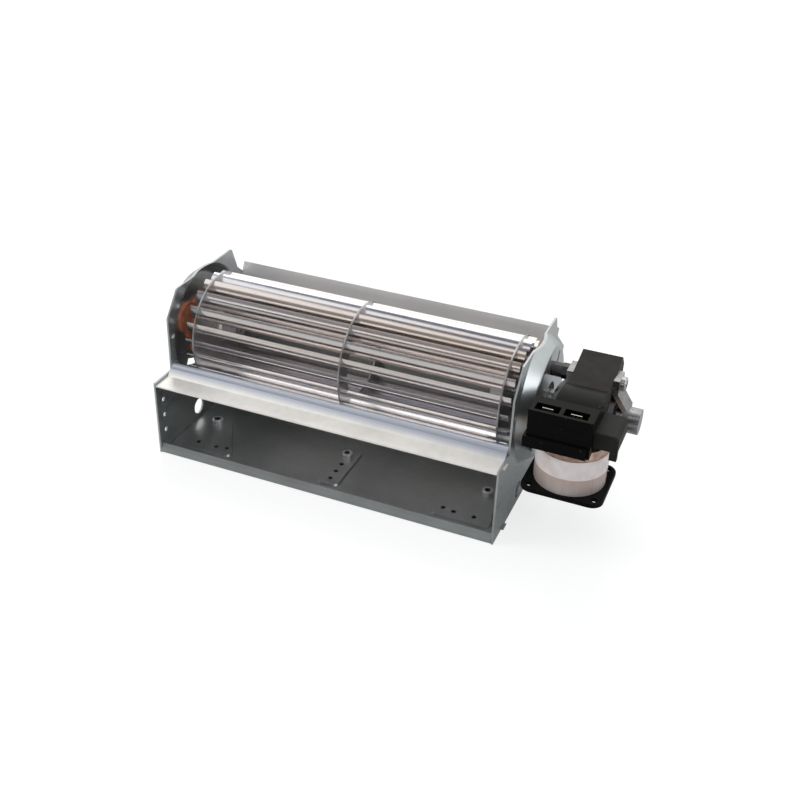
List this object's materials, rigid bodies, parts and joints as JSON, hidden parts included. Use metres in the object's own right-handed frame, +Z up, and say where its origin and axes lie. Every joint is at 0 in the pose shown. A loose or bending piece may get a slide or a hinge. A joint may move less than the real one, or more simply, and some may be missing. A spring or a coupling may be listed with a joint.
{
  "type": "cross flow fan",
  "caption": "Cross flow fan: bladed drum between dished side plates over a sheet scroll with a slot outlet, shaded-pole motor on one end.",
  "frame": {"origin": "underside of the floor sheet, below the middle of the impeller", "axes": "+X along the impeller towards the motor, +Y from the outlet to the rear, +Z up"},
  "size_m": [0.2559, 0.107, 0.0862],
  "materials": {
    "galvanised_sheet": "galvanised, satin",
    "galvanised_plate": "galvanised, satin",
    "blade_aluminium": "bright rolled",
    "disc_aluminium": "rolled",
    "hub_aluminium": "turned",
    "shaft_steel": "ground",
    "rotor_steel": "dark ground",
    "plated_steel": "zinc plated",
    "orange_silicone": "matte",
    "sintered_bronze": "oiled",
    "cast_zinc": "as cast",
    "lamination_steel": "dark varnished",
    "copper": "enamelled",
    "bobbin_black": "semi gloss",
    "coil_tape": "film tape",
    "label_film": "bare label",
    "tinned_brass": "bright",
    "guard_grey": "moulded"
  },
  "bodies": {
    "housing": {"bearing_holder": "orange_silicone", "coil_bobbin": "bobbin_black", "coil_label": "label_film", "coil_tape": "coil_tape", "coil_winding": "copper", "core_limb": "lamination_steel", "dish_nut_lower": "plated_steel", "dish_nut_upper": "plated_steel", "floor_nut_centre": "plated_steel", "floor_nut_left": "plated_steel", "floor_nut_right": "plated_steel", "inner_bearing_bridge": "cast_zinc", "inner_motor_bearing": "sintered_bronze", "lamination_stack": "lamination_steel", "left_bearing": "sintered_bronze", "left_side_plate": "galvanised_plate", "left_spade_terminal": "tinned_brass", "motor_nut_lower": "plated_steel", "motor_nut_upper": "plated_steel", "motor_screw_lower": "plated_steel", "motor_screw_upper": "plated_steel", "outer_bearing_bridge": "cast_zinc", "outer_motor_bearing": "sintered_bronze", "right_side_plate": "galvanised_plate", "right_spade_terminal": "tinned_brass", "scroll_wall": "galvanised_sheet", "shading_ring_lower": "copper", "shading_ring_upper": "copper", "spacer_lower": "plated_steel", "spacer_upper": "plated_steel", "terminal_guard": "guard_grey", "tongue_plate": "galvanised_sheet"},
    "impeller": {"blade_01": "blade_aluminium", "blade_02": "blade_aluminium", "blade_03": "blade_aluminium", "blade_04": "blade_aluminium", "blade_05": "blade_aluminium", "blade_06": "blade_aluminium", "blade_07": "blade_aluminium", "blade_08": "blade_aluminium", "blade_09": "blade_aluminium", "blade_10": "blade_aluminium", "blade_11": "blade_aluminium", "blade_12": "blade_aluminium", "blade_13": "blade_aluminium", "blade_14": "blade_aluminium", "blade_15": "blade_aluminium", "blade_16": "blade_aluminium", "blade_17": "blade_aluminium", "blade_18": "blade_aluminium", "blade_19": "blade_aluminium", "blade_20": "blade_aluminium", "left_end_disc": "disc_aluminium", "middle_ring": "disc_aluminium", "right_end_disc": "disc_aluminium", "left_hub": "hub_aluminium", "right_hub": "hub_aluminium", "left_stub_shaft": "shaft_steel", "motor_shaft": "shaft_steel", "rotor": "rotor_steel"}
  },
  "joints": [
    {"name": "impeller_spin", "type": "hinge", "parent": "housing", "child": "impeller", "pos_m": [0, 0, 0.0545], "axis": [1, 0, 0], "continuous": true}
  ]
}
